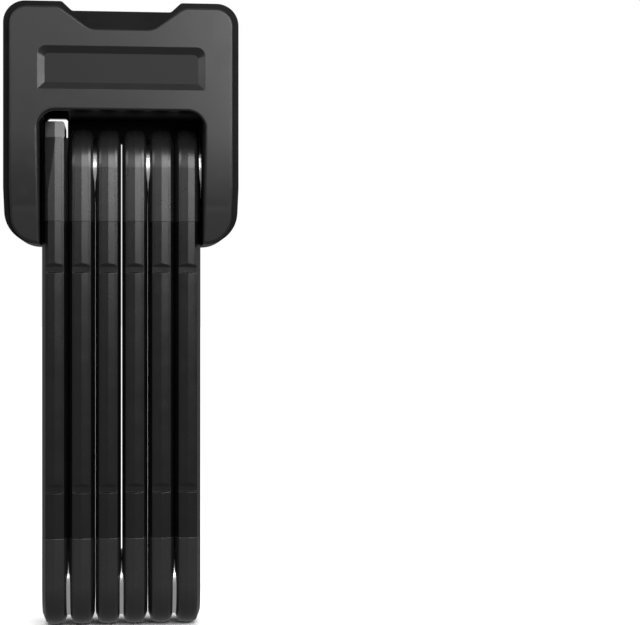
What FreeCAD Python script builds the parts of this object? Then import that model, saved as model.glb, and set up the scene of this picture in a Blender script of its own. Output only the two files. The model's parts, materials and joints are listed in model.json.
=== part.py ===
import FreeCAD, Part
import Sketcher

import math
import operator
import os
import sys

# Folding bike lock, folded flat: six steel links, riveted end to end, hang from a lock body.
# Frame: millimetres, +Z up along the links, -Y out of the back cover, +X to the right seen from
# the back cover. The origin lies under the middle of the stack, at the links' lowest points.

DIMENSIONS = {
    "bar_count": 6,
    "bar_pitch": 8.5,
    "bar_width": 27.0,
    "pivot_low": 13.5,
    "pivot_high": 147.9,
    "core_thickness": 5.5,
    "core_width": 23.0,
    "core_play": 0.1,
    "cap_thickness": 8.2,
    "facet_half": 2.15,
    "facet_drop": 0.31,
    "shoulder_half": 2.95,
    "shoulder_drop": 0.42,
    "side_drop": 2.87,
    "cap_low_top": 29.1,
    "cap_high_bottom": 130.6,
    "sleeve_inset": 0.25,
    "sleeve_thickness": 8.2,
    "band_height": 3.8,
    "band_depth": 0.8,
    "band_low": 43.4,
    "band_high": 113.8,
    "rivet_diameter": 8.0,
    "rivet_head_diameter": 13.0,
    "rivet_head_height": 1.1,
    "rivet_play": 0.05,
    "joint_window_play": 0.4,
    "washer_diameter": 21.2,
    "washer_play": 0.05,
    "slant_low": 139.0,
    "slant_high": 158.0,
    "slant_start": 154.2,
    "tongue_top": 162.6,
    "tongue_base": 157.4,
    "tongue_ridge": 11.4,
    "tongue_facet_drop": 0.6,
    "tongue_half": 3.05,
    "tongue_hole_level": 151.0,
    "tongue_hole_diameter": 9.0,
    "tongue_hole_rim": 11.0,
    "body_half_width": 37.3,
    "body_bottom": 123.3,
    "body_top": 200.3,
    "body_taper": 0.8,
    "body_taper_level": 141.0,
    "body_depth": 32.0,
    "horn_half": 18.9,
    "notch_half": 15.7,
    "notch_floor": 197.3,
    "window_half": 26.0,
    "window_ceiling": 165.5,
    "front_lip": 158.0,
    "front_lip_thickness": 1.5,
    "tongue_bay_play": 0.35,
    "tongue_bay_top": 166.3,
    "cover_thickness": 3.5,
    "cover_inset": 2.0,
    "cover_top": 198.2,
    "cover_horn_half": 19.7,
    "cover_notch_half": 9.9,
    "cover_notch_floor": 191.2,
    "cover_window_half": 26.6,
    "cover_roll": 2.2,
    "cover_roll_start": 158.0,
    "cover_edge_round": 0.7,
    "plate_half": 26.45,
    "plate_low": 172.0,
    "plate_high": 185.7,
    "plate_bevel": 2.25,
    "plate_depth": 1.2,
    "plate_corner": 2.7,
    "slot_width": 8.6,
    "slot_height": 24.0,
    "cylinder_diameter": 17.0,
    "cylinder_play": 0.1,
    "cylinder_bottom": 179.2,
    "cylinder_top": 194.2,
    "rotor_diameter": 13.0,
    "rotor_play": 0.05,
    "disc_diameter": 10.4,
    "disc_thickness": 1.5,
    "disc_count": 6,
    "keyway_width": 2.6,
    "keyway_length": 8.0,
    "crank_radius": 6.3,
    "crank_pin": 3.0,
    "bolt_level": 173.75,
    "bolt_diameter": 7.5,
    "bolt_tip": -23.2,
    "chamber_left": -14.0,
    "chamber_right": 9.3,
    "chamber_low": 168.5,
    "chamber_back": -9.0,
    "lid_thickness": 1.5,
    "lid_margin": 4.0,
    "screw_diameter": 2.0,
    "screw_head": 3.4,
    "spring_wire": 0.6,
    "spring_diameter": 4.4,
    "bezel_half": 14.5,
    "bezel_half_depth": 9.9,
    "dust_half": 5.4,
    "plug_diameter": 13.5,
    "peg_diameter": 4.0,
    "peg_length": 5.0,
}

doc = FreeCAD.newDocument("folding_lock")
sheet = doc.addObject("Spreadsheet::Sheet", "Dimensions")
for row, (alias, number) in enumerate(DIMENSIONS.items(), start=1):
    sheet.set(f"A{row}", alias)
    sheet.set(f"B{row}", str(number))
    sheet.setAlias(f"B{row}", alias)
doc.recompute()

OPERATORS = {"+": operator.add, "-": operator.sub, "*": operator.mul, "/": operator.truediv}


class Size:
    """A number, together with the spreadsheet expression that gives it."""

    def __init__(self, value, text, bound):
        self.value = value
        self.text = text
        self.bound = bound

    def __add__(self, other):
        return combine(self, "+", other)

    def __radd__(self, other):
        return combine(other, "+", self)

    def __sub__(self, other):
        return combine(self, "-", other)

    def __rsub__(self, other):
        return combine(other, "-", self)

    def __mul__(self, other):
        return combine(self, "*", other)

    def __rmul__(self, other):
        return combine(other, "*", self)

    def __truediv__(self, other):
        return combine(self, "/", other)

    def __neg__(self):
        return combine(0.0, "-", self)


def as_size(number):
    if isinstance(number, Size):
        return number
    return Size(float(number), f"{float(number):.6f}", False)


def combine(first, sign, second):
    first = as_size(first)
    second = as_size(second)
    value = OPERATORS[sign](first.value, second.value)
    return Size(value, f"({first.text} {sign} {second.text})", first.bound or second.bound)


class Sheet:
    """Reads a cell of the spreadsheet as a Size, by its alias."""

    def __getattr__(self, alias):
        return Size(float(sheet.get(alias)), f"Dimensions.{alias}", True)


dim = Sheet()


def bind(feature, name, size):
    """Give a property its size, bound to the spreadsheet where the size comes from it."""
    size = as_size(size)
    if size.bound:
        feature.setExpression(name, size.text)
    else:
        setattr(feature, name, size.value)


def new_body(label, place=(0, 0, 0)):
    body = doc.addObject("PartDesign::Body", label)
    body.Label = label
    for axis, size in zip("xyz", place):
        if as_size(size).bound:
            body.setExpression(f"Placement.Base.{axis}", as_size(size).text)
    return body


def new_sketch(body, plane, name, offset=0):
    """A sketch on one of the body's own origin planes, shifted along that plane's normal."""
    sketch = body.newObject("Sketcher::SketchObject", name)
    support = next(f for f in body.Origin.OriginFeatures if f.Role == plane)
    sketch.AttachmentSupport = (support, [""])
    sketch.MapMode = "FlatFace"
    offset = as_size(offset)
    if offset.value != 0:
        sketch.AttachmentOffset = FreeCAD.Placement(FreeCAD.Vector(0, 0, offset.value), FreeCAD.Rotation())
    if offset.bound:
        sketch.setExpression("AttachmentOffset.Base.z", offset.text)
    return sketch


def constrain(sketch, kind, *where, size):
    """Add a dimension to the sketch and bind it to the spreadsheet."""
    index = sketch.addConstraint(Sketcher.Constraint(kind, *where, size.value))
    if size.bound:
        sketch.setExpression(f"Constraints[{index}]", size.text)


def locate_along(sketch, kind, element, end, size):
    """Tie a point of a sketch element to one coordinate, measured from the sketch's origin."""
    size = as_size(size)
    if abs(size.value) < 1e-9:
        axis = -2 if kind == "DistanceX" else -1
        sketch.addConstraint(Sketcher.Constraint("PointOnObject", element, end, axis))
    else:
        constrain(sketch, kind, element, end, size=size)


def locate(sketch, element, end, horizontal, vertical):
    locate_along(sketch, "DistanceX", element, end, horizontal)
    locate_along(sketch, "DistanceY", element, end, vertical)


def outline(sketch, points):
    """A closed outline, anticlockwise. A point's third number makes the side after it an arc
    that bulges out by that much, or in where it is negative."""
    ends = []
    for index, point in enumerate(points):
        following = points[(index + 1) % len(points)]
        start = FreeCAD.Vector(as_size(point[0]).value, as_size(point[1]).value, 0)
        finish = FreeCAD.Vector(as_size(following[0]).value, as_size(following[1]).value, 0)
        if len(point) == 2:
            element = sketch.addGeometry(Part.LineSegment(start, finish), False)
            ends.append((element, 1, 2))
            continue
        bulge = as_size(point[2])
        chord = finish - start
        outward = FreeCAD.Vector(chord.y, -chord.x, 0).normalize()
        middle = (start + finish) * 0.5 + outward * bulge.value
        if bulge.value > 0:
            element = sketch.addGeometry(Part.Arc(start, middle, finish), False)
            ends.append((element, 1, 2))
        else:
            element = sketch.addGeometry(Part.Arc(finish, middle, start), False)
            ends.append((element, 2, 1))
    for index, point in enumerate(points):
        element, first, _ = ends[index]
        before, _, last = ends[index - 1]
        sketch.addConstraint(Sketcher.Constraint("Coincident", before, last, element, first))
        locate(sketch, element, first, point[0], point[1])
    for (element, _, _), point in zip(ends, points):
        if len(point) == 3:
            arc = sketch.Geometry[element]
            chord = arc.EndPoint - arc.StartPoint
            if abs(chord.x) > abs(chord.y):
                locate_along(sketch, "DistanceY", element, 3, arc.Center.y)
            else:
                locate_along(sketch, "DistanceX", element, 3, arc.Center.x)


def circle(sketch, horizontal, vertical, diameter):
    centre = FreeCAD.Vector(as_size(horizontal).value, as_size(vertical).value, 0)
    radius = as_size(diameter) / 2
    element = sketch.addGeometry(Part.Circle(centre, FreeCAD.Vector(0, 0, 1), radius.value), False)
    locate(sketch, element, 3, horizontal, vertical)
    constrain(sketch, "Radius", element, size=radius)


def rectangle(sketch, left, low, right, high):
    outline(sketch, [(left, low), (right, low), (right, high), (left, high)])


def pad(body, sketch, length, both_ways=False, reverse=False):
    feature = body.newObject("PartDesign::Pad", sketch.Name + "_pad")
    feature.Profile = sketch
    bind(feature, "Length", length)
    feature.SideType = "Symmetric" if both_ways else "One side"
    feature.Reversed = reverse
    return rebuild(feature)


def rebuild(feature):
    """Recompute the document and stop if the feature failed."""
    doc.recompute()
    if "Invalid" in feature.State or "Error" in feature.State or feature.Shape.isNull():
        sys.exit(f"{feature.Label} failed: {feature.State} {feature.getStatusString()}")
    return feature


def pocket(body, sketch, length=None, both_ways=False, reverse=False):
    """Cut the sketch out of the body. With no length it cuts right through."""
    before = body.Shape.Volume
    feature = body.newObject("PartDesign::Pocket", sketch.Name + "_pocket")
    feature.Profile = sketch
    feature.SideType = "Symmetric" if both_ways else "One side"
    feature.Reversed = reverse
    if length is None:
        feature.Type = "ThroughAll"
    else:
        bind(feature, "Length", length)
    rebuild(feature)
    if not body.Shape.Volume < before - 1e-6:
        sys.exit(f"{body.Label}: {sketch.Name} cuts nothing")
    return feature


def revolve(body, sketch, angle=360.0, reverse=False):
    """Turn the sketch about its own horizontal axis."""
    feature = body.newObject("PartDesign::Revolution", sketch.Name + "_turned")
    feature.Profile = sketch
    feature.ReferenceAxis = (sketch, ["H_Axis"])
    feature.Angle = angle
    feature.Reversed = reverse
    return rebuild(feature)


def edges_where(shape, test):
    return [f"Edge{n}" for n, edge in enumerate(shape.Edges, start=1) if test(edge)]


def round_edges(body, test, radius):
    """Fillet the edges of the body's present shape that pass the test."""
    base = body.Tip
    names = edges_where(base.Shape, test)
    if not names:
        sys.exit(f"{body.Label}: no edge to round")
    feature = body.newObject("PartDesign::Fillet", "round")
    feature.Base = (base, names)
    bind(feature, "Radius", radius)
    return rebuild(feature)


def corner_test(corners):
    """Edges along Y that stand over one of the given (x, z) corners."""
    places = [(as_size(across).value, as_size(up).value) for across, up in corners]

    def test(edge):
        first, last = edge.Vertexes[0].Point, edge.Vertexes[-1].Point
        if abs(first.x - last.x) > 1e-4 or abs(first.z - last.z) > 1e-4 or edge.Length < 1e-3:
            return False
        return any(abs(first.x - x) < 1e-3 and abs(first.z - z) < 1e-3 for x, z in places)

    return test


def both_sides(corners):
    return [(side * across, up) for across, up in corners for side in (-1, 1)]


# ---- links ----------------------------------------------------------------------------------

BAR_COUNT = int(dim.bar_count.value)
bar_half_width = dim.bar_width / 2
joint_window = dim.washer_diameter + 2 * dim.joint_window_play
head_window = dim.rivet_head_diameter + 2 * dim.joint_window_play
hole_diameter = dim.rivet_diameter + 2 * dim.rivet_play


def bar_place(number):
    """The middle of a link's thickness: link 1 is on the right and the last one on the left."""
    return ((dim.bar_count + 1) / 2 - number) * dim.bar_pitch


def stadium(sketch, half, low, high):
    """A straight-sided outline with a half-round at each end, about the two pivots."""
    outline(sketch, [(-half, low, half), (half, low), (half, high, half), (-half, high)])


def bar_core(number):
    """The hardened steel plate inside a link. The last one ends in the tongue."""
    last = number == BAR_COUNT
    body = new_body(f"bar_{number}_core", (bar_place(number), 0, 0))
    plate = new_sketch(body, "YZ_Plane", "plate")
    half = dim.core_width / 2
    if last:
        shoulder = dim.tongue_base + 1.0
        outline(plate, [(-half, dim.pivot_low, half), (half, dim.pivot_low), (half, dim.tongue_base - 6.0),
                        (dim.tongue_ridge - 1.0, shoulder), (1.0 - dim.tongue_ridge, shoulder),
                        (-half, dim.tongue_base - 6.0)])
    else:
        stadium(plate, half, dim.pivot_low, dim.pivot_high)
    pad(body, plate, dim.core_thickness, both_ways=True)
    if last:
        head = new_sketch(body, "XY_Plane", "tongue", dim.tongue_base)
        facet = dim.tongue_ridge - dim.tongue_facet_drop
        side = dim.tongue_half
        outline(head, [(side, -facet), (side, facet), (0, dim.tongue_ridge),
                       (-side, facet), (-side, -facet), (0, -dim.tongue_ridge)])
        pad(body, head, dim.tongue_top - dim.tongue_base)
        tip_round = 0.8
        round_edges(body, lambda e: abs(e.CenterOfMass.z - dim.tongue_top.value) < 1e-3
                    and abs(abs(e.CenterOfMass.x) - dim.tongue_half.value) < 1e-3, tip_round)
    holes = new_sketch(body, "YZ_Plane", "holes")
    circle(holes, 0, dim.pivot_low, hole_diameter)
    if last:
        circle(holes, 0, dim.tongue_hole_level, dim.tongue_hole_diameter)
    else:
        circle(holes, 0, dim.pivot_high, hole_diameter)
    pocket(body, holes, 2 * dim.core_thickness, both_ways=True)
    return body


def moulding_section(thickness, ridge):
    """Half of a link moulding's cross-section: flat sides, shoulders and a low roof along the edge."""
    side = thickness / 2
    foot = ridge - dim.facet_drop
    shoulder = foot - dim.shoulder_drop
    right = [(side, shoulder - dim.side_drop), (dim.shoulder_half, shoulder), (dim.facet_half, foot)]
    left = [(-across, up) for across, up in reversed(right)]
    return right + [(0, ridge)] + left


def mirrored_section(half):
    return half + [(-across, -up) for across, up in half]


def slanted_facet(body, side):
    """The flat below the tongue that runs slantwise from the ridge to the left shoulder."""
    lean = 0.327
    rise = 0.027
    left, right, outside = -4.6, 1.5, side * (bar_half_width + 2.0)
    sections = []
    name = "front_slant" if side > 0 else "back_slant"
    for level in (dim.slant_low, dim.slant_high):
        sketch = new_sketch(body, "XY_Plane", f"{name}_{len(sections)}", level)
        ridge = bar_half_width - (level - dim.slant_start) * rise
        outline(sketch, [(left, outside), (right, outside), (right, side * (ridge + lean * right)),
                         (left, side * (ridge + lean * left))])
        sections.append(sketch)
    loft = body.newObject("PartDesign::SubtractiveLoft", "slanted_facet")
    loft.Profile = sections[0]
    loft.Sections = sections[1:]
    rebuild(loft)


def end_cap(number, end):
    """The moulded cap over one end of a link. It leaves the rivet head and the washer bare."""
    upper = end == "upper"
    last_top = upper and number == BAR_COUNT
    body = new_body(f"bar_{number}_{end}_cap", (bar_place(number), 0, 0))
    pivot = dim.pivot_high if upper else dim.pivot_low
    parting = dim.cap_high_bottom if upper else dim.cap_low_top
    section = moulding_section(dim.cap_thickness, bar_half_width)
    straight = new_sketch(body, "XY_Plane", "straight", pivot)
    outline(straight, mirrored_section(section))
    pad(body, straight, pivot - parting if upper else parting - pivot, reverse=upper)
    if last_top:
        top = new_sketch(body, "XY_Plane", "top", pivot)
        outline(top, mirrored_section(section))
        pad(body, top, dim.tongue_base - pivot)
    else:
        side = dim.cap_thickness / 2
        turned = new_sketch(body, "XY_Plane", "round_end", pivot)
        outline(turned, [(side, 0)] + section + [(-side, 0)])
        revolve(body, turned, 180.0, reverse=not upper)
    hollow = new_sketch(body, "YZ_Plane", "hollow")
    half = dim.core_width / 2 + dim.core_play
    if last_top:
        rectangle(hollow, -half, parting - 1.0, half, dim.tongue_base + 1.0)
    elif upper:
        outline(hollow, [(-half, parting - 1.0), (half, parting - 1.0), (half, pivot, half), (-half, pivot)])
    else:
        outline(hollow, [(-half, pivot, half), (half, pivot), (half, parting + 1.0), (-half, parting + 1.0)])
    pocket(body, hollow, dim.core_thickness, both_ways=True)
    if last_top:
        rim = new_sketch(body, "YZ_Plane", "tongue_hole_rim")
        circle(rim, 0, dim.tongue_hole_level, dim.tongue_hole_rim)
        pocket(body, rim, 2 * dim.cap_thickness, both_ways=True)
        slanted_facet(body, -1)
        slanted_facet(body, 1)
        return body
    odd = number % 2 == 1
    washer_right = odd == upper
    for right, diameter, name in ((washer_right, joint_window, "washer_window"),
                                  (not washer_right, head_window, "head_window")):
        window = new_sketch(body, "YZ_Plane", name)
        circle(window, 0, pivot, diameter)
        pocket(body, window, dim.cap_thickness, reverse=right)
    return body


def bar_sleeve(number):
    """The moulded jacket between the caps, with two gripping bands across its narrow edges."""
    body = new_body(f"bar_{number}_sleeve", (bar_place(number), 0, 0))
    ridge = bar_half_width - dim.sleeve_inset
    section = new_sketch(body, "XY_Plane", "section", dim.cap_low_top)
    outline(section, mirrored_section(moulding_section(dim.sleeve_thickness, ridge)))
    pad(body, section, dim.cap_high_bottom - dim.cap_low_top)
    hollow = new_sketch(body, "YZ_Plane", "hollow")
    half = dim.core_width / 2 + dim.core_play
    rectangle(hollow, -half, dim.cap_low_top - 1.0, half, dim.cap_high_bottom + 1.0)
    pocket(body, hollow, dim.core_thickness, both_ways=True)
    sill = 0.5
    ramp = 1.6
    floor = ridge - dim.band_depth
    for level, name in ((dim.band_low, "low_band"), (dim.band_high, "high_band")):
        top = level + dim.band_height
        front = [(floor, level + sill), (bar_half_width, level), (bar_half_width, top), (floor, top - ramp)]
        rear = [(-across, up) for across, up in reversed(front)]
        for corners, side in ((front, "front"), (rear, "rear")):
            band = new_sketch(body, "YZ_Plane", f"{name}_{side}")
            outline(band, corners)
            pocket(body, band, 2 * dim.sleeve_thickness, both_ways=True)
    return body


def link_rivet(first, second, pivot):
    """A solid rivet through two links, headed on both of their outer faces."""
    middle = (bar_place(first) + bar_place(second)) / 2
    body = new_body(f"rivet_{first}_{second}", (middle, 0, pivot))
    reach = (dim.bar_pitch + dim.core_thickness) / 2
    rivet_profile(body, -reach, reach)
    return body


def rivet_profile(body, left, right):
    """A rivet along X whose shank fills the span from left to right, with a head past each end."""
    shank = dim.rivet_diameter / 2
    head = dim.rivet_head_diameter / 2
    rise = dim.rivet_head_height
    bevel = 0.5
    profile = new_sketch(body, "XY_Plane", "profile")
    outline(profile, [(left - rise, 0), (right + rise, 0), (right + rise, head - bevel),
                      (right + rise - bevel, head), (right, head), (right, shank), (left, shank),
                      (left, head), (left - rise + bevel, head), (left - rise, head - bevel)])
    revolve(body, profile)


def washer(label, middle, pivot, thickness):
    """A steel spacing washer, lightly chamfered, around a rivet."""
    body = new_body(label, (middle, 0, pivot))
    inner = hole_diameter / 2
    outer = dim.washer_diameter / 2
    half = thickness / 2
    bevel = 0.3
    profile = new_sketch(body, "XY_Plane", "profile")
    outline(profile, [(-half, inner), (half, inner), (half, outer - bevel), (half - bevel, outer),
                      (bevel - half, outer), (-half, outer - bevel)])
    revolve(body, profile)
    return body


def links():
    for number in range(1, BAR_COUNT + 1):
        bar_core(number)
        bar_sleeve(number)
        end_cap(number, "lower")
        end_cap(number, "upper")
    for first in range(1, BAR_COUNT):
        second = first + 1
        pivot = dim.pivot_low if first % 2 == 1 else dim.pivot_high
        link_rivet(first, second, pivot)
        middle = (bar_place(first) + bar_place(second)) / 2
        gap = dim.bar_pitch - dim.core_thickness
        washer(f"washer_{first}_{second}", middle, pivot, gap - 2 * dim.washer_play)


# ---- lock body ------------------------------------------------------------------------------

half_depth = dim.body_depth / 2
leg_foot_half = dim.body_half_width - dim.body_taper
rivet_seat = 8.0
slot_middle = bar_place(BAR_COUNT)
bay_edge = slot_middle + dim.tongue_half + dim.tongue_bay_play
bore_diameter = dim.cylinder_diameter + 2 * dim.cylinder_play
bezel_pocket_play = 0.1
bezel_seat = dim.cylinder_top + 0.1
screw_places = [(dim.chamber_right + 2.0, dim.chamber_low + up) for up in (1.0, 9.5)]
roll_pin_diameter = 3.0
roll_pin_across = dim.cylinder_diameter / 2 + 0.4
roll_pin_level = dim.cylinder_bottom + 5.0
roll_pin_depth = 8.0
peg_places = both_sides([(32.0, dim.body_top - 5.7), (31.5, dim.body_bottom + 6.3)])


def lock_housing():
    """The steel frame: a bridge with two legs, the links' window between them."""
    body = new_body("lock_housing")
    frame = new_sketch(body, "XZ_Plane", "frame")
    wide, foot, inner = dim.body_half_width, leg_foot_half, dim.window_half
    outline(frame, [(inner, dim.body_bottom), (foot, dim.body_bottom), (wide, dim.body_taper_level),
                    (wide, dim.body_top), (dim.horn_half, dim.body_top), (dim.notch_half, dim.notch_floor),
                    (-dim.notch_half, dim.notch_floor), (-dim.horn_half, dim.body_top), (-wide, dim.body_top),
                    (-wide, dim.body_taper_level), (-foot, dim.body_bottom), (-inner, dim.body_bottom),
                    (-inner, dim.front_lip), (inner, dim.front_lip)])
    pad(body, frame, dim.body_depth, both_ways=True)
    top_round = 7.0
    foot_round = 10.3
    horn_round = 1.5
    round_edges(body, corner_test(both_sides([(wide, dim.body_top)])), top_round)
    round_edges(body, corner_test(both_sides([(foot, dim.body_bottom)])), foot_round)
    horns = both_sides([(dim.horn_half, dim.body_top), (dim.notch_half, dim.notch_floor)])
    round_edges(body, corner_test(horns), horn_round)

    window = new_sketch(body, "XZ_Plane", "window", half_depth)
    rectangle(window, -inner, dim.front_lip - 1.0, inner, dim.window_ceiling)
    pocket(body, window, dim.body_depth - dim.front_lip_thickness)
    bay = new_sketch(body, "XZ_Plane", "tongue_bay", -half_depth)
    rectangle(bay, -inner, dim.front_lip - 1.0, bay_edge, dim.window_ceiling)
    pocket(body, bay, 2 * dim.front_lip_thickness, reverse=True)

    slot = new_sketch(body, "XY_Plane", "tongue_slot", dim.window_ceiling - 0.5)
    rectangle(slot, slot_middle - dim.slot_width / 2, -dim.body_depth, slot_middle + dim.slot_width / 2,
              dim.body_depth)
    pocket(body, slot, dim.slot_height + 0.5, reverse=True)

    bore = new_sketch(body, "XY_Plane", "cylinder_bore", dim.cylinder_bottom - 1.0)
    circle(bore, 0, 0, bore_diameter)
    pocket(body, bore, dim.body_top - dim.cylinder_bottom, reverse=True)
    bezel = new_sketch(body, "XY_Plane", "bezel_seat", bezel_seat)
    rectangle(bezel, -dim.bezel_half - bezel_pocket_play, -dim.bezel_half_depth - bezel_pocket_play,
              dim.bezel_half + bezel_pocket_play, dim.bezel_half_depth + bezel_pocket_play)
    pocket(body, bezel, dim.body_top - bezel_seat, reverse=True)

    chamber = new_sketch(body, "XZ_Plane", "chamber", -half_depth)
    rectangle(chamber, dim.chamber_left, dim.chamber_low, dim.chamber_right, dim.cylinder_bottom)
    pocket(body, chamber, half_depth - dim.chamber_back, reverse=True)
    lid = new_sketch(body, "XZ_Plane", "lid_seat", -half_depth)
    rectangle(lid, dim.chamber_left - dim.lid_thickness, dim.chamber_low - dim.lid_thickness,
              dim.chamber_right + dim.lid_margin, dim.cylinder_bottom + dim.lid_thickness)
    pocket(body, lid, dim.lid_thickness, reverse=True)
    screws = new_sketch(body, "XZ_Plane", "screw_holes", -half_depth)
    for across, up in screw_places:
        circle(screws, across, up, dim.screw_diameter)
    pocket(body, screws, 8.0, reverse=True)

    guide = new_sketch(body, "YZ_Plane", "bolt_guide", dim.chamber_left + 1.0)
    circle(guide, 0, dim.bolt_level, dim.bolt_diameter + 2 * dim.rivet_play)
    pocket(body, guide, 6.0)

    roll = new_sketch(body, "XZ_Plane", "roll_pin_hole", -half_depth)
    circle(roll, roll_pin_across, roll_pin_level, roll_pin_diameter)
    pocket(body, roll, half_depth + roll_pin_depth, reverse=True)

    pivot = new_sketch(body, "YZ_Plane", "pivot_hole", dim.window_half - 1.0)
    circle(pivot, 0, dim.pivot_high, hole_diameter)
    pocket(body, pivot, 20.0, reverse=True)
    seat = new_sketch(body, "YZ_Plane", "rivet_seat", dim.window_half + rivet_seat)
    circle(seat, 0, dim.pivot_high, head_window)
    pocket(body, seat, 20.0, reverse=True)

    for front in (False, True):
        sockets = new_sketch(body, "XZ_Plane", f"{'front' if front else 'back'}_peg_sockets",
                             -half_depth if front else half_depth)
        for across, up in peg_places:
            circle(sockets, across, up, dim.peg_diameter + 0.1)
        pocket(body, sockets, dim.peg_length + 0.5, reverse=front)
    return body


def cover(label, front):
    """One of the two moulded covers. The front one has a lower window edge, with
    a bay for the tongue."""
    body = new_body(label)
    wide = dim.body_half_width - dim.cover_inset
    foot = leg_foot_half - dim.cover_inset
    low = dim.body_bottom + 0.2
    inner = dim.cover_window_half
    inner_foot = dim.window_half - 0.05
    ceiling = dim.front_lip if front else dim.window_ceiling
    bay_left = slot_middle - dim.tongue_half - dim.tongue_bay_play
    bay = [(bay_left, dim.front_lip), (bay_left, dim.tongue_bay_top), (bay_edge, dim.tongue_bay_top),
           (bay_edge, dim.front_lip)] if front else []
    shell = new_sketch(body, "XZ_Plane", "shell", -half_depth if front else half_depth)
    outline(shell, [(inner_foot, low), (foot, low), (wide, dim.body_taper_level), (wide, dim.cover_top),
                    (dim.cover_horn_half, dim.cover_top), (dim.cover_notch_half, dim.cover_notch_floor),
                    (-dim.cover_notch_half, dim.cover_notch_floor), (-dim.cover_horn_half, dim.cover_top),
                    (-wide, dim.cover_top), (-wide, dim.body_taper_level), (-foot, low), (-inner_foot, low),
                    (-inner, ceiling)] + bay + [(inner, ceiling)])
    pad(body, shell, dim.cover_thickness, reverse=front)
    rounds = [(both_sides([(wide, dim.cover_top)]), 5.6), (both_sides([(foot, low)]), 8.4),
              (both_sides([(dim.cover_horn_half, dim.cover_top)]), 4.0),
              (both_sides([(dim.cover_notch_half, dim.cover_notch_floor)]), 6.0),
              (both_sides([(inner, ceiling)]), 1.0 if front else 5.8)]
    if front:
        rounds.append(([(bay_left, dim.tongue_bay_top), (bay_edge, dim.tongue_bay_top)], 1.0))
    for corners, radius in rounds:
        round_edges(body, corner_test(corners), radius)

    outer = half_depth + dim.cover_thickness
    roll = new_sketch(body, "YZ_Plane", "roll")
    fall = dim.cover_roll
    level = dim.cover_roll_start
    end = dim.body_bottom - 1.0
    dip = 0.55
    if front:
        outline(roll, [(outer - fall, end), (outer + 2.0, end), (outer + 2.0, level), (outer, level, -dip)])
    else:
        outline(roll, [(-outer - 2.0, end), (fall - outer, end, -dip), (-outer, level),
                       (-outer - 2.0, level)])
    pocket(body, roll, 4 * dim.body_half_width, both_ways=True)
    inside = half_depth.value + 0.4
    round_edges(body, lambda e: all(abs(v.Y) > inside for v in e.Vertexes) and abs(e.CenterOfMass.y) > inside,
                dim.cover_edge_round)

    plate_face = outer if not front else -outer
    rim = new_sketch(body, "XZ_Plane", "plate_rim", plate_face)
    plate_outline(rim, dim.plate_half, dim.plate_low, dim.plate_high, dim.plate_corner)
    floor = new_sketch(body, "XZ_Plane", "plate_floor",
                       plate_face - dim.plate_depth if not front else plate_face + dim.plate_depth)
    plate_outline(floor, dim.plate_half - dim.plate_bevel, dim.plate_low + dim.plate_bevel,
                  dim.plate_high - dim.plate_bevel, dim.plate_corner / 2)
    recess = body.newObject("PartDesign::SubtractiveLoft", "plate_recess")
    recess.Profile = rim
    recess.Sections = [floor]
    rebuild(recess)
    pegs = new_sketch(body, "XZ_Plane", "pegs", -half_depth if front else half_depth)
    for across, up in peg_places:
        circle(pegs, across, up, dim.peg_diameter)
    pad(body, pegs, dim.peg_length, reverse=not front)
    return body


def plate_outline(sketch, half, low, high, corner):
    """A panel with rounded upper corners and square lower ones."""
    bulge = (1 - math.sqrt(0.5)) * corner
    outline(sketch, [(-half, low), (half, low), (half, high - corner, bulge), (half - corner, high),
                     (corner - half, high, bulge), (-half, high - corner)])


def body_rivet():
    """The rivet that joins link 1 to the right leg."""
    middle = bar_place(1)
    body = new_body("rivet_body_1", (middle, 0, dim.pivot_high))
    rivet_profile(body, -dim.core_thickness / 2, dim.window_half + rivet_seat - middle)
    return body


def body_washer():
    start = bar_place(1) + dim.core_thickness / 2
    gap = dim.window_half - start
    return washer("washer_body_1", (start + dim.window_half) / 2, dim.pivot_high, gap - 2 * dim.washer_play)


def chamfer_edges(body, test, size):
    """Chamfer the edges of the body's present shape that pass the test."""
    base = body.Tip
    feature = body.newObject("PartDesign::Chamfer", "chamfer")
    feature.Base = (base, edges_where(base.Shape, test))
    bind(feature, "Size", size)
    return rebuild(feature)


def pivot_plug():
    """The plastic plug that hides the rivet's outer head in the right leg's side."""
    inside = dim.window_half + rivet_seat + dim.rivet_head_height + 0.1
    outside = dim.body_half_width - 0.1
    body = new_body("pivot_plug", (inside, 0, dim.pivot_high))
    disc = new_sketch(body, "YZ_Plane", "disc")
    circle(disc, 0, 0, dim.plug_diameter)
    pad(body, disc, outside - inside)
    reach = (outside - inside).value
    chamfer_edges(body, lambda e: len(e.Vertexes) == 1 and abs(e.Vertexes[0].X - reach) < 1e-3, 0.4)
    return body


disc_floor = 2.0
disc_gap = 0.3
guard_thickness = 1.5
flange_drop = 0.1
flange_thickness = 1.4
yoke_low = dim.bolt_level - 2.25
yoke_height = 4.5


def cylinder_housing():
    """The fixed sleeve of the lock cylinder, with a groove for the roll pin."""
    body = new_body("cylinder_housing", (0, 0, dim.cylinder_bottom))
    ring = new_sketch(body, "XY_Plane", "ring")
    circle(ring, 0, 0, dim.cylinder_diameter)
    circle(ring, 0, 0, dim.rotor_diameter + 2 * dim.rotor_play)
    pad(body, ring, dim.cylinder_top - dim.cylinder_bottom)
    groove = new_sketch(body, "XZ_Plane", "roll_pin_groove", -half_depth)
    circle(groove, roll_pin_across, roll_pin_level - dim.cylinder_bottom, roll_pin_diameter)
    pocket(body, groove, half_depth + roll_pin_depth, reverse=True)
    return body


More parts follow.
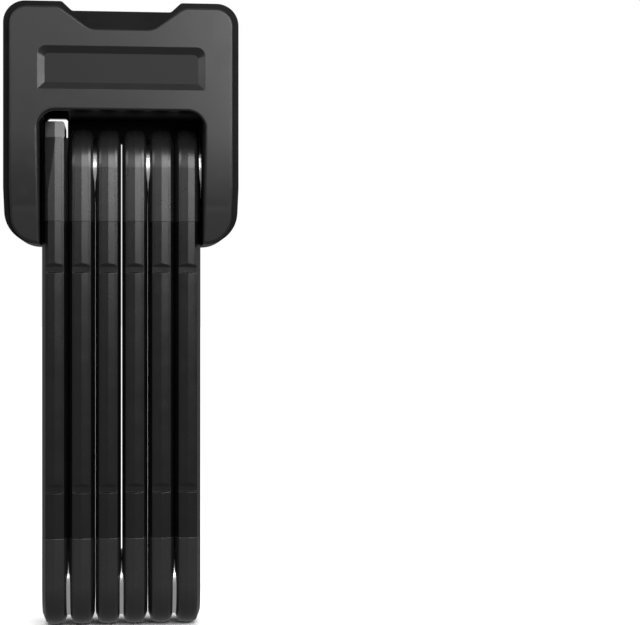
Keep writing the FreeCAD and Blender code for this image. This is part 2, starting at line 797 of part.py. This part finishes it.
def cylinder_rotor():
    """The rotor: a cup for the discs, with a flange and a crank pin under it."""
    body = new_body("cylinder_rotor", (0, 0, dim.cylinder_bottom))
    length = dim.cylinder_top - dim.cylinder_bottom - guard_thickness - 0.1
    barrel = new_sketch(body, "XY_Plane", "barrel", -flange_drop)
    circle(barrel, 0, 0, dim.rotor_diameter)
    pad(body, barrel, length + flange_drop)
    flange = new_sketch(body, "XY_Plane", "flange", -flange_drop)
    circle(flange, 0, 0, dim.cylinder_diameter - 1.2)
    pad(body, flange, flange_thickness, reverse=True)
    room = new_sketch(body, "XY_Plane", "disc_room", disc_floor)
    circle(room, 0, 0, dim.disc_diameter + 0.2)
    pocket(body, room, length, reverse=True)
    slit = new_sketch(body, "YZ_Plane", "sidebar_slit", -dim.rotor_diameter / 2 - 1.0)
    rectangle(slit, -0.8, disc_floor + 0.4, 0.8, length - 1.0)
    pocket(body, slit, 3.0, reverse=True)
    crank = new_sketch(body, "XY_Plane", "crank_pin", -flange_drop)
    circle(crank, -dim.crank_radius, 0, dim.crank_pin)
    pad(body, crank, dim.cylinder_bottom - yoke_low - flange_drop, reverse=True)
    return body


def drill_guard():
    """The hardened disc under the keyhole. It turns with the rotor."""
    body = new_body("drill_guard", (0, 0, dim.cylinder_top - guard_thickness))
    disc = new_sketch(body, "XY_Plane", "disc")
    circle(disc, 0, 0, dim.rotor_diameter)
    half_width, half_length = dim.keyway_width / 2, dim.keyway_length / 2
    rectangle(disc, -half_width, -half_length, half_width, half_length)
    pad(body, disc, guard_thickness)
    return body


def part_box(name, sizes, corner):
    box = doc.addObject("Part::Box", name)
    for prop, size in zip(("Length", "Width", "Height"), sizes):
        bind(box, prop, size)
    place(box, corner)
    return box


def part_cylinder(name, diameter, height, foot, along_y=False):
    """A Part cylinder that stands on its foot, up Z or along -Y."""
    rod = doc.addObject("Part::Cylinder", name)
    bind(rod, "Radius", as_size(diameter) / 2)
    bind(rod, "Height", height)
    if along_y:
        rod.Placement.Rotation = FreeCAD.Rotation(FreeCAD.Vector(1, 0, 0), 90)
    place(rod, foot)
    return rod


def place(item, corner):
    for axis, size in zip("xyz", corner):
        bind_place(item, axis, as_size(size))


def bind_place(item, axis, size):
    if size.bound:
        item.setExpression(f"Placement.Base.{axis}", size.text)
    else:
        setattr(item.Placement.Base, axis, size.value)


def cut(name, base, tool):
    result = doc.addObject("Part::Cut", name)
    result.Base = base
    result.Tool = tool
    return result


def fuse(name, pieces):
    result = doc.addObject("Part::MultiFuse", name)
    result.Shapes = pieces
    return result


def group(label, pieces):
    """Identical separate pieces that share one sub-part."""
    result = doc.addObject("Part::Compound", label)
    result.Label = label
    result.Links = pieces
    return result


def lock_discs():
    """The coded discs, each a thin washer with the key's slot through it."""
    discs = []
    width, length = dim.keyway_width + 0.4, dim.keyway_length + 0.4
    for index in range(int(dim.disc_count.value)):
        level = dim.cylinder_bottom + disc_floor + disc_gap + index * (dim.disc_thickness + disc_gap)
        blank = part_cylinder(f"disc_blank_{index}", dim.disc_diameter, dim.disc_thickness, (0, 0, level))
        slot = part_box(f"disc_slot_{index}", (width, length, dim.disc_thickness + 1.0),
                        (-width / 2, -length / 2, level - 0.5))
        discs.append(cut(f"disc_{index}", blank, slot))
    return group("lock_discs", discs)


def sidebar():
    """The bar that falls into the discs' notches when the right key has turned them."""
    length = dim.cylinder_top - dim.cylinder_bottom - guard_thickness - disc_floor - 2.0
    bar = part_box("sidebar", (1.1, 1.4, length),
                   (-dim.rotor_diameter / 2 + 0.05, -0.7, dim.cylinder_bottom + disc_floor + 0.6))
    bar.Label = "sidebar"
    return bar


def cylinder_roll_pin():
    """A rolled spring pin, driven in across the cylinder to hold it."""
    length = half_depth + roll_pin_depth - 0.3
    foot = (roll_pin_across, half_depth - 0.1, roll_pin_level)
    outer = part_cylinder("pin_outer", roll_pin_diameter - 0.1, length, foot, along_y=True)
    inner = part_cylinder("pin_inner", roll_pin_diameter - 1.3, length + 2.0,
                          (roll_pin_across, half_depth + 0.9, roll_pin_level), along_y=True)
    pin = cut("cylinder_roll_pin", outer, inner)
    pin.Label = "cylinder_roll_pin"
    return pin


def lock_bolt():
    """The sliding bolt: a round nose for the tongue's hole and a yoke for the crank pin."""
    body = new_body("lock_bolt")
    yoke_left = -dim.crank_radius - 4.35
    yoke_right = -dim.crank_radius + 3.0
    nose = new_sketch(body, "YZ_Plane", "nose", dim.bolt_tip)
    circle(nose, 0, dim.bolt_level, dim.bolt_diameter)
    pad(body, nose, yoke_left + 0.6 - dim.bolt_tip)
    tip = dim.bolt_tip.value
    chamfer_edges(body, lambda e: len(e.Vertexes) == 1 and abs(e.Vertexes[0].X - tip) < 1e-3, 1.2)
    yoke = new_sketch(body, "XY_Plane", "yoke", yoke_low)
    rectangle(yoke, yoke_left, -4.0, yoke_right, 9.5)
    pad(body, yoke, yoke_height)
    slot = new_sketch(body, "XY_Plane", "crank_slot", yoke_low - 0.5)
    rectangle(slot, yoke_left + 1.3, -1.9, yoke_right - 1.35, 8.2)
    pocket(body, slot, yoke_height + 1.0, reverse=True)
    return body


def bolt_spring():
    """The coil spring that pushes the bolt out, between the yoke and the chamber's wall."""
    start = -dim.crank_radius + 3.0 + dim.spring_wire / 2 + 0.05
    length = dim.chamber_right - start - dim.spring_wire / 2 - 0.05
    body = new_body("bolt_spring", (start, 0, dim.bolt_level))
    wire = new_sketch(body, "XY_Plane", "wire")
    circle(wire, 0, (dim.spring_diameter - dim.spring_wire) / 2, dim.spring_wire)
    coil = body.newObject("PartDesign::AdditiveHelix", "coil")
    coil.Profile = wire
    coil.ReferenceAxis = (wire, ["H_Axis"])
    coil.Mode = "height-turns-angle"
    bind(coil, "Height", length)
    coil.Turns = 8
    rebuild(coil)
    return body


def mechanism_lid():
    """The steel lid over the bolt's chamber, sunk into the housing's front."""
    body = new_body("mechanism_lid")
    fit = 0.1
    lid = new_sketch(body, "XZ_Plane", "lid", -half_depth)
    rectangle(lid, dim.chamber_left - dim.lid_thickness + fit, dim.chamber_low - dim.lid_thickness + fit,
              dim.chamber_right + dim.lid_margin - fit, dim.cylinder_bottom + dim.lid_thickness - fit)
    for across, up in screw_places:
        circle(lid, across, up, dim.screw_diameter + 0.2)
    pad(body, lid, dim.lid_thickness - fit / 2)
    sinks = new_sketch(body, "XZ_Plane", "screw_seats", -half_depth)
    for across, up in screw_places:
        circle(sinks, across, up, dim.screw_head + 0.2)
    pocket(body, sinks, 1.0, reverse=True)
    return body


def lid_screws():
    """Two small screws with cheese heads. The lid's other end is held by its seat."""
    head_height = 0.9
    screws = []
    for index, (across, up) in enumerate(screw_places):
        top = half_depth - 0.05
        head = part_cylinder(f"screw_head_{index}", dim.screw_head, head_height, (across, top, up),
                             along_y=True)
        shank = part_cylinder(f"screw_shank_{index}", dim.screw_diameter - 0.1, 6.5,
                              (across, top - head_height + 0.1, up), along_y=True)
        screws.append(fuse(f"screw_{index}", [head, shank]))
    return group("lid_screws", screws)


def keyhole_bezel():
    """The moulded track around the keyhole: a floor, two lipped rails and two end stops."""
    body = new_body("keyhole_bezel")
    low = bezel_seat + 0.05
    floor = low + 0.85
    top = dim.notch_floor - 0.05
    outer = dim.bezel_half_depth
    rail = outer - 1.0
    lip = rail - 0.7
    track = new_sketch(body, "YZ_Plane", "track")
    hook = top - 0.6
    outline(track, [(-outer, low), (outer, low), (outer, top), (lip, top), (lip, hook), (rail, hook),
                    (rail, floor), (-rail, floor), (-rail, hook), (-lip, hook), (-lip, top), (-outer, top)])
    pad(body, track, 2 * dim.bezel_half, both_ways=True)
    stops = new_sketch(body, "XY_Plane", "stops", low)
    stop_thickness = 0.8
    rectangle(stops, -dim.bezel_half, -outer, stop_thickness - dim.bezel_half, outer)
    rectangle(stops, dim.bezel_half - stop_thickness, -outer, dim.bezel_half, outer)
    pad(body, stops, top - low)
    hole = new_sketch(body, "XY_Plane", "key_opening", low - 0.5)
    circle(hole, 0, 0, 9.0)
    pocket(body, hole, 2.0, reverse=True)
    return body


def dust_cover():
    """The slide that covers the keyhole, with a thumb rib."""
    body = new_body("dust_cover")
    low = bezel_seat + 1.0
    half = dim.dust_half
    side = dim.bezel_half_depth - 1.1
    plate = new_sketch(body, "XY_Plane", "plate", low)
    rectangle(plate, -half, -side, half, side)
    pad(body, plate, 1.2)
    rib = new_sketch(body, "XY_Plane", "rib", low + 1.0)
    rib_length = 5.5
    for across in (-2.6, -0.6, 1.4):
        rectangle(rib, across, -rib_length, across + 1.2, rib_length)
    pad(body, rib, 0.85)
    return body


def main():
    links()
    lock_housing()
    cover("back_cover", front=False)
    cover("front_cover", front=True)
    body_rivet()
    body_washer()
    pivot_plug()
    cylinder_housing()
    cylinder_rotor()
    drill_guard()
    lock_bolt()
    bolt_spring()
    mechanism_lid()
    keyhole_bezel()
    dust_cover()
    return [lock_discs(), sidebar(), cylinder_roll_pin(), lid_screws()]


simple_parts = main()
doc.recompute()
os.makedirs("parts", exist_ok=True)
for item in doc.Objects:
    if "Invalid" in item.State or "Error" in item.State:
        sys.exit(f"{item.Label} failed: {item.State}")
parts = [item for item in doc.Objects if item.TypeId == "PartDesign::Body"] + simple_parts
for item in parts:
    if item.Shape.isNull() or not item.Shape.isValid():
        sys.exit(f"{item.Label} has no valid shape")
for item in parts:
    item.Shape.exportStep(f"parts/{item.Label}.step")
print(len(parts), "sub-parts")
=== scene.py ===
import json
import math

import bpy
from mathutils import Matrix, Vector

MM = 0.001

# ---- surfaces ---------------------------------------------------------------------------------
NARROW = (0.35, 0.65)             # the range of a noise's values that is stretched to full contrast
WIDE = (0.3, 0.7)                 # the same, for a gentler contrast
BEVEL_SAMPLES = 6
MOULDED_ROUNDING = 0.22 * MM      # radius that edges are shaded with
STEEL_ROUNDING = 0.15 * MM
MOULDED_WEAR_AND_HIGHLIGHT_WIDTH = 0.45 * MM    # how far edge wear and the painted edge highlight reach in from an edge
STEEL_WEAR_AND_HIGHLIGHT_WIDTH = 0.35 * MM
FLANK_ROUGHNESS = 0.9
SUNK_ROUGHNESS = 0.65
SUNK_SHADE = 0.002
PLATE_FLOOR = 18.4 * MM           # just outside the floor of the covers' recessed plate

# ---- studio -----------------------------------------------------------------------------------
FLOOR_HALF = 12.0
WORLD_SEEN = 1.0                  # the surround as the camera sees it
WORLD_LIT = 0.27                  # the surround as it lights the object
SUN_STRENGTH = 3.6
SUN_ANGLE = math.radians(60)
BOX_DISTANCE = 0.50
AIM = (0, 0, 0.20)

# Name, azimuth in degrees, height, width and length in metres, and radiance.
SOFTBOXES = (
    ("right_box", 17, 0.345, 0.15, 0.36, 5.8),
    ("left_box", -19, 0.36, 0.12, 0.34, 1.5),
    ("right_strip", 56, 0.36, 0.12, 0.34, 10.0),
    ("left_strip", -56, 0.38, 0.10, 0.30, 5.0),
    ("front_fill", 0, 0.29, 0.40, 0.14, 0.8),
)

# ---- camera -----------------------------------------------------------------------------------
DISTANCE = 0.60
EYE_HEIGHT = 0.1014
YAW = math.radians(6.214)
SENSOR = 36.0
LENS = 102.5
CLIP_START = 0.01
CLIP_END = 40.0

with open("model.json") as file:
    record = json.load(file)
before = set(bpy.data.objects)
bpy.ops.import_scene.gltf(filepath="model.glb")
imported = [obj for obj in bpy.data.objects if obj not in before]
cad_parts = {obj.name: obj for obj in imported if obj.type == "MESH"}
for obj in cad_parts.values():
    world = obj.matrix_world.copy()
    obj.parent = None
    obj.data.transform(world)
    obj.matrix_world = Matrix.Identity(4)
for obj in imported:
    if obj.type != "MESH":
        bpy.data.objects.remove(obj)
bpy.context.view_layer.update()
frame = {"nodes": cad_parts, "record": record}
nodes = frame["nodes"]
slot_of = {part["node"]: part["material_slot"] for part in frame["record"]["subparts"]}


# ---- node helpers -----------------------------------------------------------------------------

class Graph:
    """A material's node tree, with short calls that add a node and join it up."""

    def __init__(self, name):
        self.material = bpy.data.materials.new(name)
        self.material.use_nodes = True
        self.tree = self.material.node_tree
        self.tree.nodes.clear()
        self.shader = self.add("ShaderNodeBsdfPrincipled")
        output = self.add("ShaderNodeOutputMaterial")
        self.tree.links.new(self.shader.outputs["BSDF"], output.inputs["Surface"])
        self.place = self.add("ShaderNodeTexCoord").outputs["Object"]

    def add(self, kind):
        return self.tree.nodes.new(kind)

    def feed(self, socket, value):
        if isinstance(value, bpy.types.NodeSocket):
            self.tree.links.new(value, socket)
        else:
            socket.default_value = value

    def math(self, operation, first, second=0.0, clamp=False):
        node = self.add("ShaderNodeMath")
        node.operation = operation
        node.use_clamp = clamp
        self.feed(node.inputs[0], first)
        self.feed(node.inputs[1], second)
        return node.outputs[0]

    def remap(self, value, low, high, to_low, to_high):
        node = self.add("ShaderNodeMapRange")
        for socket, number in zip(node.inputs, (value, low, high, to_low, to_high)):
            self.feed(socket, number)
        return node.outputs[0]

    def stretch(self, scale):
        node = self.add("ShaderNodeMapping")
        self.feed(node.inputs["Vector"], self.place)
        node.inputs["Scale"].default_value = scale
        return node.outputs["Vector"]

    def noise(self, size, detail=2.0, roughness=0.5):
        """Noise whose features are about the given size, in metres."""
        node = self.add("ShaderNodeTexNoise")
        self.feed(node.inputs["Vector"], self.place)
        node.inputs["Scale"].default_value = 1.0 / size
        node.inputs["Detail"].default_value = detail
        node.inputs["Roughness"].default_value = roughness
        return node.outputs["Fac"]

    def cells(self, size):
        """Distance to the middle of cells of about the given size, in metres."""
        node = self.add("ShaderNodeTexVoronoi")
        self.feed(node.inputs["Vector"], self.place)
        node.inputs["Scale"].default_value = 1.0 / size
        return node.outputs["Distance"]

    def mix_colour(self, factor, first, second):
        node = self.add("ShaderNodeMix")
        node.data_type = "RGBA"
        self.feed(node.inputs[0], factor)
        self.feed(node.inputs[6], first)
        self.feed(node.inputs[7], second)
        return node.outputs[2]

    def bump(self, height, depth, strength=1.0, normal=None):
        node = self.add("ShaderNodeBump")
        node.inputs["Strength"].default_value = strength
        node.inputs["Distance"].default_value = depth
        self.feed(node.inputs["Height"], height)
        if normal is not None:
            self.feed(node.inputs["Normal"], normal)
        return node.outputs["Normal"]

    def rounded(self, radius):
        """The surface's normal with the edges rounded off."""
        bevel = self.add("ShaderNodeBevel")
        bevel.samples = BEVEL_SAMPLES
        bevel.inputs["Radius"].default_value = radius
        return bevel.outputs["Normal"]

    def edges(self, radius, tight=0.05, loose=0.35):
        """1 along a piece's edges and 0 on its faces."""
        soft = self.rounded(radius)
        plain = self.add("ShaderNodeNewGeometry")
        dot = self.add("ShaderNodeVectorMath")
        dot.operation = "DOT_PRODUCT"
        self.feed(dot.inputs[0], soft)
        self.feed(dot.inputs[1], plain.outputs["Normal"])
        away = self.math("SUBTRACT", 1.0, dot.outputs["Value"])
        return self.remap(away, tight, loose, 0.0, 1.0)

    def flanks(self, level):
        """The level on faces that look sideways along X, and 0 on the others."""
        facing = self.add("ShaderNodeSeparateXYZ")
        self.feed(facing.inputs[0], self.add("ShaderNodeTexCoord").outputs["Normal"])
        return self.remap(self.math("ABSOLUTE", facing.outputs["X"]), 0.90, 0.98, 0.0, level)

    def sunk(self, level):
        """1 on flat faces across Y that lie no further out than the level, and 0 on the others."""
        where = self.add("ShaderNodeSeparateXYZ")
        self.feed(where.inputs[0], self.place)
        facing = self.add("ShaderNodeSeparateXYZ")
        self.feed(facing.inputs[0], self.add("ShaderNodeTexCoord").outputs["Normal"])
        inside = self.remap(self.math("ABSOLUTE", where.outputs["Y"]), level, level + 0.5 * MM, 1.0, 0.0)
        flat = self.remap(self.math("ABSOLUTE", facing.outputs["Y"]), 0.90, 0.96, 0.0, 1.0)
        return self.math("MULTIPLY", inside, flat)


def grey(value, tint=0.0):
    return (value * (1 - tint), value, value * (1 + tint), 1.0)


def moulded(name, dark, light, gloss, matt, grain, depth, worn_and_highlit, wear_and_highlight=0.5, shine=0.5, sunk_at=0.0):
    """Moulded plastic: a fine grain, faint handling marks, polished edges and matt flanks. Edges are
    painted lighter, partly as wear and partly as a painted highlight.

    Flat faces across Y no further out than sunk_at are darker and rougher than the rest.
    """
    graph = Graph(name)
    cloud = graph.noise(18 * MM, 4.0, 0.6)
    fine = graph.noise(1.6 * MM, 3.0, 0.6)
    shade = graph.math("ADD", graph.math("MULTIPLY", cloud, 0.7), graph.math("MULTIPLY", fine, 0.3))
    base = graph.mix_colour(graph.remap(shade, *NARROW, 0.0, 1.0), dark, light)
    sunk = graph.sunk(sunk_at)
    base = graph.mix_colour(sunk, base, grey(SUNK_SHADE))
    # lighter edges: partly rubbed wear, partly a painted highlight along the edges
    rubbed_highlit_edge = graph.math("MULTIPLY", graph.edges(MOULDED_WEAR_AND_HIGHLIGHT_WIDTH), graph.remap(fine, *WIDE, 0.35, 1.0))
    colour = graph.mix_colour(graph.math("MULTIPLY", rubbed_highlit_edge, wear_and_highlight), base, worn_and_highlit)
    graph.feed(graph.shader.inputs["Base Color"], colour)
    marks = graph.noise(7 * MM, 5.0, 0.65)
    rough = graph.remap(marks, *WIDE, gloss, matt)
    rough = graph.math("SUBTRACT", rough, graph.math("MULTIPLY", rubbed_highlit_edge, 0.08), clamp=True)
    rough = graph.math("MAXIMUM", rough, graph.flanks(FLANK_ROUGHNESS))
    rough = graph.math("MAXIMUM", rough, graph.math("MULTIPLY", sunk, SUNK_ROUGHNESS))
    graph.feed(graph.shader.inputs["Roughness"], rough)
    pits = graph.cells(grain)
    ripple = graph.noise(grain * 0.6, 2.0)
    height = graph.math("ADD", graph.math("MULTIPLY", pits, 0.6), graph.math("MULTIPLY", ripple, 0.4))
    normal = graph.bump(height, depth, 0.6, graph.rounded(MOULDED_ROUNDING))
    graph.feed(graph.shader.inputs["Normal"], normal)
    graph.shader.inputs["Specular IOR Level"].default_value = shine
    return graph.material


def steel(name, dark, light, gloss, matt, brush, depth, worn_and_highlit, wear_and_highlight=0.6, turning=0.0):
    """Metal with a directional finish: brush is how far the marks run along X, Y and Z. Edges are painted
    lighter, partly as wear and partly as a painted highlight.
    """
    graph = Graph(name)
    lined = graph.stretch(tuple(1.0 / length for length in brush))
    marks = graph.add("ShaderNodeTexNoise")
    graph.feed(marks.inputs["Vector"], lined)
    marks.inputs["Scale"].default_value = 1.0
    marks.inputs["Detail"].default_value = 3.0
    marks = marks.outputs["Fac"]
    cloud = graph.noise(5 * MM, 4.0, 0.6)
    blend = graph.math("ADD", graph.math("MULTIPLY", marks, 0.55), graph.math("MULTIPLY", cloud, 0.45))
    base = graph.mix_colour(graph.remap(blend, *NARROW, 0.0, 1.0), dark, light)
    # lighter edges: partly rubbed wear, partly a painted highlight along the edges
    rubbed_highlit_edge = graph.edges(STEEL_WEAR_AND_HIGHLIGHT_WIDTH)
    graph.feed(graph.shader.inputs["Base Color"],
               graph.mix_colour(graph.math("MULTIPLY", rubbed_highlit_edge, wear_and_highlight), base, worn_and_highlit))
    graph.feed(graph.shader.inputs["Roughness"], graph.remap(blend, *NARROW, gloss, matt))
    normal = graph.bump(marks, depth, 0.5, graph.rounded(STEEL_ROUNDING))
    graph.feed(graph.shader.inputs["Normal"], normal)
    graph.shader.inputs["Metallic"].default_value = 1.0
    graph.shader.inputs["Anisotropic"].default_value = turning
    return graph.material


# moulded: dark and light, gloss and matt, grain and its depth, worn and highlit edge colour, wear and
# painted highlight amount, shine.
# steel: dark and light, gloss and matt, brush and its depth, worn and highlit edge colour, wear and painted
# highlight amount, turning.
materials = {
    "housing_paint": moulded("housing_paint", grey(0.005), grey(0.009), 0.34, 0.46, 0.30 * MM, 0.010 * MM,
                             grey(0.02), 0.3, 0.06),
    "cover_plastic": moulded("cover_plastic", grey(0.007), grey(0.009), 0.28, 0.36, 0.22 * MM, 0.010 * MM,
                             grey(0.16), 0.6, sunk_at=PLATE_FLOOR),
    "link_jacket": moulded("link_jacket", grey(0.003), grey(0.005), 0.22, 0.29, 0.35 * MM, 0.003 * MM,
                           grey(0.04), 0.3),
    "link_cap": moulded("link_cap", grey(0.014), grey(0.018), 0.25, 0.32, 0.35 * MM, 0.003 * MM,
                        grey(0.12), 0.5, 0.55),
    "black_plastic": moulded("black_plastic", grey(0.006), grey(0.010), 0.34, 0.48, 0.25 * MM, 0.010 * MM,
                             grey(0.04), 0.3),
    "hard_steel": steel("hard_steel", grey(0.30), grey(0.42), 0.28, 0.42, (0.2 * MM, 2 * MM, 9 * MM),
                        0.006 * MM, grey(0.6)),
    "tongue_steel": steel("tongue_steel", grey(0.09), grey(0.11), 0.34, 0.42, (0.15 * MM, 0.6 * MM, 6 * MM),
                          0.005 * MM, grey(0.7), 0.7, 0.3),
    "washer_steel": steel("washer_steel", grey(0.90), grey(0.96), 0.16, 0.24, (2 * MM, 0.5 * MM, 0.5 * MM),
                          0.002 * MM, grey(0.95)),
    "rivet_steel": steel("rivet_steel", grey(0.40), grey(0.52), 0.24, 0.36, (4 * MM, 0.4 * MM, 0.4 * MM),
                         0.006 * MM, grey(0.7)),
    "spring_steel": steel("spring_steel", grey(0.42), grey(0.55), 0.18, 0.30, (1 * MM, 0.3 * MM, 0.3 * MM),
                          0.004 * MM, grey(0.7)),
    "brass": steel("brass", (0.50, 0.34, 0.12, 1), (0.66, 0.47, 0.19, 1), 0.22, 0.36,
                   (0.4 * MM, 0.4 * MM, 5 * MM), 0.005 * MM, (0.8, 0.62, 0.32, 1)),
}

for name, node in nodes.items():
    node.data.materials.clear()
    node.data.materials.append(materials[slot_of[name]])

# ---- stage --------------------------------------------------------------------------------------

def plain_floor():
    """A pale floor that the camera sees, but that neither reflections nor bounced light do."""
    mesh = bpy.data.meshes.new("floor")
    corners = [(x * FLOOR_HALF, y * FLOOR_HALF, 0) for x, y in ((-1, -1), (1, -1), (1, 1), (-1, 1))]
    mesh.from_pydata(corners, [], [(0, 1, 2, 3)])
    floor = bpy.data.objects.new("floor", mesh)
    bpy.context.scene.collection.objects.link(floor)
    graph = Graph("floor_paper")
    tone = graph.remap(graph.noise(0.35, 3.0), 0.3, 0.7, 0.0, 1.0)
    graph.feed(graph.shader.inputs["Base Color"], graph.mix_colour(tone, grey(0.86), grey(0.90)))
    graph.shader.inputs["Roughness"].default_value = 0.9
    graph.shader.inputs["Specular IOR Level"].default_value = 0.1
    mesh.materials.append(graph.material)
    floor.visible_glossy = False
    floor.visible_diffuse = False


def studio_world():
    """A plain white surround, brighter to the camera than to the object."""
    world = bpy.data.worlds.new("studio")
    bpy.context.scene.world = world
    world.use_nodes = True
    tree = world.node_tree
    tree.nodes.clear()
    output = tree.nodes.new("ShaderNodeOutputWorld")
    mix = tree.nodes.new("ShaderNodeMixShader")
    path = tree.nodes.new("ShaderNodeLightPath")
    tree.links.new(path.outputs["Is Camera Ray"], mix.inputs[0])
    for socket, level in ((mix.inputs[1], WORLD_LIT), (mix.inputs[2], WORLD_SEEN)):
        glow = tree.nodes.new("ShaderNodeBackground")
        glow.inputs["Color"].default_value = (1, 1, 1, 1)
        glow.inputs["Strength"].default_value = level
        tree.links.new(glow.outputs[0], socket)
    tree.links.new(mix.outputs[0], output.inputs["Surface"])


def softbox(name, azimuth, height, width, length, radiance):
    """A soft rectangular light, hidden from the camera itself."""
    light = bpy.data.lights.new(name, "AREA")
    light.shape = "RECTANGLE"
    light.size = width
    light.size_y = length
    light.energy = 4 * width * length * radiance
    lamp = bpy.data.objects.new(name, light)
    bpy.context.scene.collection.objects.link(lamp)
    place = around(azimuth, BOX_DISTANCE, height)
    lamp.location = place
    lamp.rotation_mode = "QUATERNION"
    lamp.rotation_quaternion = (Vector(AIM) - Vector(place)).to_track_quat("-Z", "Y")
    lamp.visible_camera = False


def sky_sun():
    """A very soft sun straight overhead, not seen in reflections, that keeps the floor bright."""
    light = bpy.data.lights.new("sky_sun", "SUN")
    light.energy = SUN_STRENGTH
    light.angle = SUN_ANGLE
    lamp = bpy.data.objects.new("sky_sun", light)
    bpy.context.scene.collection.objects.link(lamp)
    lamp.location = (0, 0, 2)
    lamp.visible_glossy = False


def around(azimuth, distance, height):
    """A place at an azimuth from straight in front, positive to the right."""
    turn = math.radians(azimuth)
    return (distance * math.sin(turn), -distance * math.cos(turn), height)


plain_floor()
studio_world()
sky_sun()
for box in SOFTBOXES:
    softbox(*box)
bpy.context.scene.view_settings.view_transform = "Standard"

# ---- camera -------------------------------------------------------------------------------------

camera_data = bpy.data.cameras.new("camera")
camera = bpy.data.objects.new("camera", camera_data)
bpy.context.scene.collection.objects.link(camera)
camera_data.sensor_width = SENSOR
camera_data.lens = LENS
camera_data.clip_start = CLIP_START
camera_data.clip_end = CLIP_END
camera.location = (0.0, -DISTANCE, EYE_HEIGHT)
camera.rotation_euler = (math.pi / 2, 0.0, -YAW)
bpy.context.scene.camera = camera
